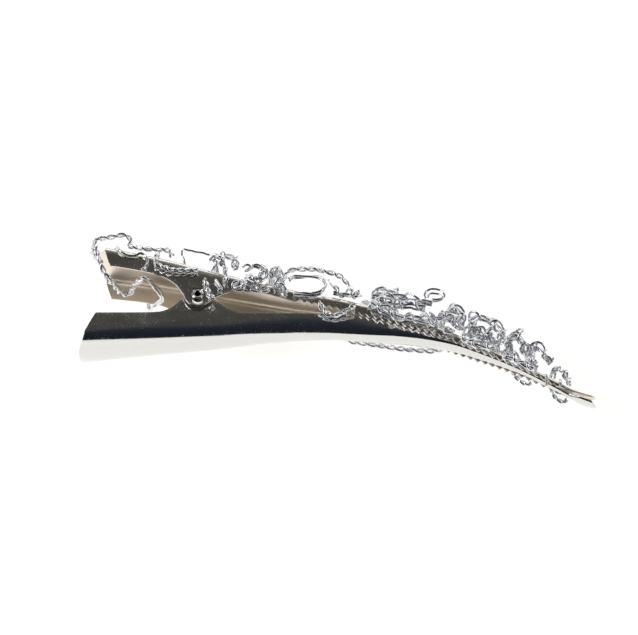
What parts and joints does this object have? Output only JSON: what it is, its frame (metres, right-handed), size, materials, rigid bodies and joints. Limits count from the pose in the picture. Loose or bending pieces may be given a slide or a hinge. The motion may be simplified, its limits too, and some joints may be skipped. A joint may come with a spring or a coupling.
{
  "type": "alligator hair clip",
  "caption": "Long curved alligator hair clip: two pressed steel levers on a hollow rivet with a torsion spring, toothed jaw, upper lever dressed with looped silver craft wire.",
  "frame": {"origin": "bottom centre of the whole clip's box as it lies on its side", "axes": "+X from the thumb pads to the tip, +Y from the plain lower lever to the dressed upper lever, +Z along the hinge axis, up from the surface it lies on"},
  "size_m": [0.1282, 0.0494, 0.0174],
  "materials": {
    "nickel_plate": "polished nickel plate with fine scratches and dust",
    "spring_steel": "drawn spring wire",
    "craft_wire": "bright drawn silver-coloured wire"
  },
  "bodies": {
    "lower_body": {"lower_lever": "nickel_plate", "hinge_rivet": "nickel_plate", "torsion_spring": "spring_steel"},
    "upper_body": {"upper_lever": "nickel_plate", "wire_thumb_loop": "craft_wire", "wire_end_festoon": "craft_wire", "wire_thumb_line": "craft_wire", "wire_under_tie": "craft_wire", "wire_shoulder_twist": "craft_wire", "wire_square_loop": "craft_wire", "wire_knot_arch": "craft_wire", "wire_knot_fall": "craft_wire", "wire_knot_coil": "craft_wire", "wire_ear_drop": "craft_wire", "wire_ear_curl": "craft_wire", "wire_low_arc": "craft_wire", "wire_side_ring": "craft_wire", "wire_cross_knot": "craft_wire", "wire_crest_twist": "craft_wire", "wire_long_oval": "craft_wire", "wire_brace": "craft_wire", "wire_spine_line": "craft_wire", "wire_low_festoon": "craft_wire", "wire_scroll": "craft_wire", "wire_long_line": "craft_wire", "wire_long_arc": "craft_wire", "wire_crest_ring": "craft_wire", "wire_crest_rise": "craft_wire", "wire_tall_arch": "craft_wire", "wire_straight_end": "craft_wire", "wire_dome": "craft_wire", "wire_fan": "craft_wire", "wire_dome_skirt": "craft_wire", "wire_jaw_skirt": "craft_wire", "wire_gap_loop": "craft_wire", "wire_mid_loop": "craft_wire", "wire_crest_knot": "craft_wire", "wire_tip_scroll": "craft_wire", "wire_tip_line": "craft_wire", "wire_tip_wrap": "craft_wire", "wire_neck_band": "craft_wire", "wire_neck_hook": "craft_wire", "wire_far_twist": "craft_wire", "wire_far_knot": "craft_wire", "wire_far_clump": "craft_wire", "wire_back_handle": "craft_wire", "wire_back_throat": "craft_wire", "wire_back_jaw": "craft_wire", "wire_back_tip": "craft_wire"}
  },
  "joints": [
    {"name": "jaw_hinge", "type": "hinge", "parent": "lower_body", "child": "upper_body", "pos_m": [-0.0346, 0.00514, 0.00874], "axis": [0, 0, 1], "range_deg": [0, 22], "stiffness_Nm_per_rad": 0.08, "springref_deg": -51.57, "deforming": ["torsion_spring"]}
  ]
}
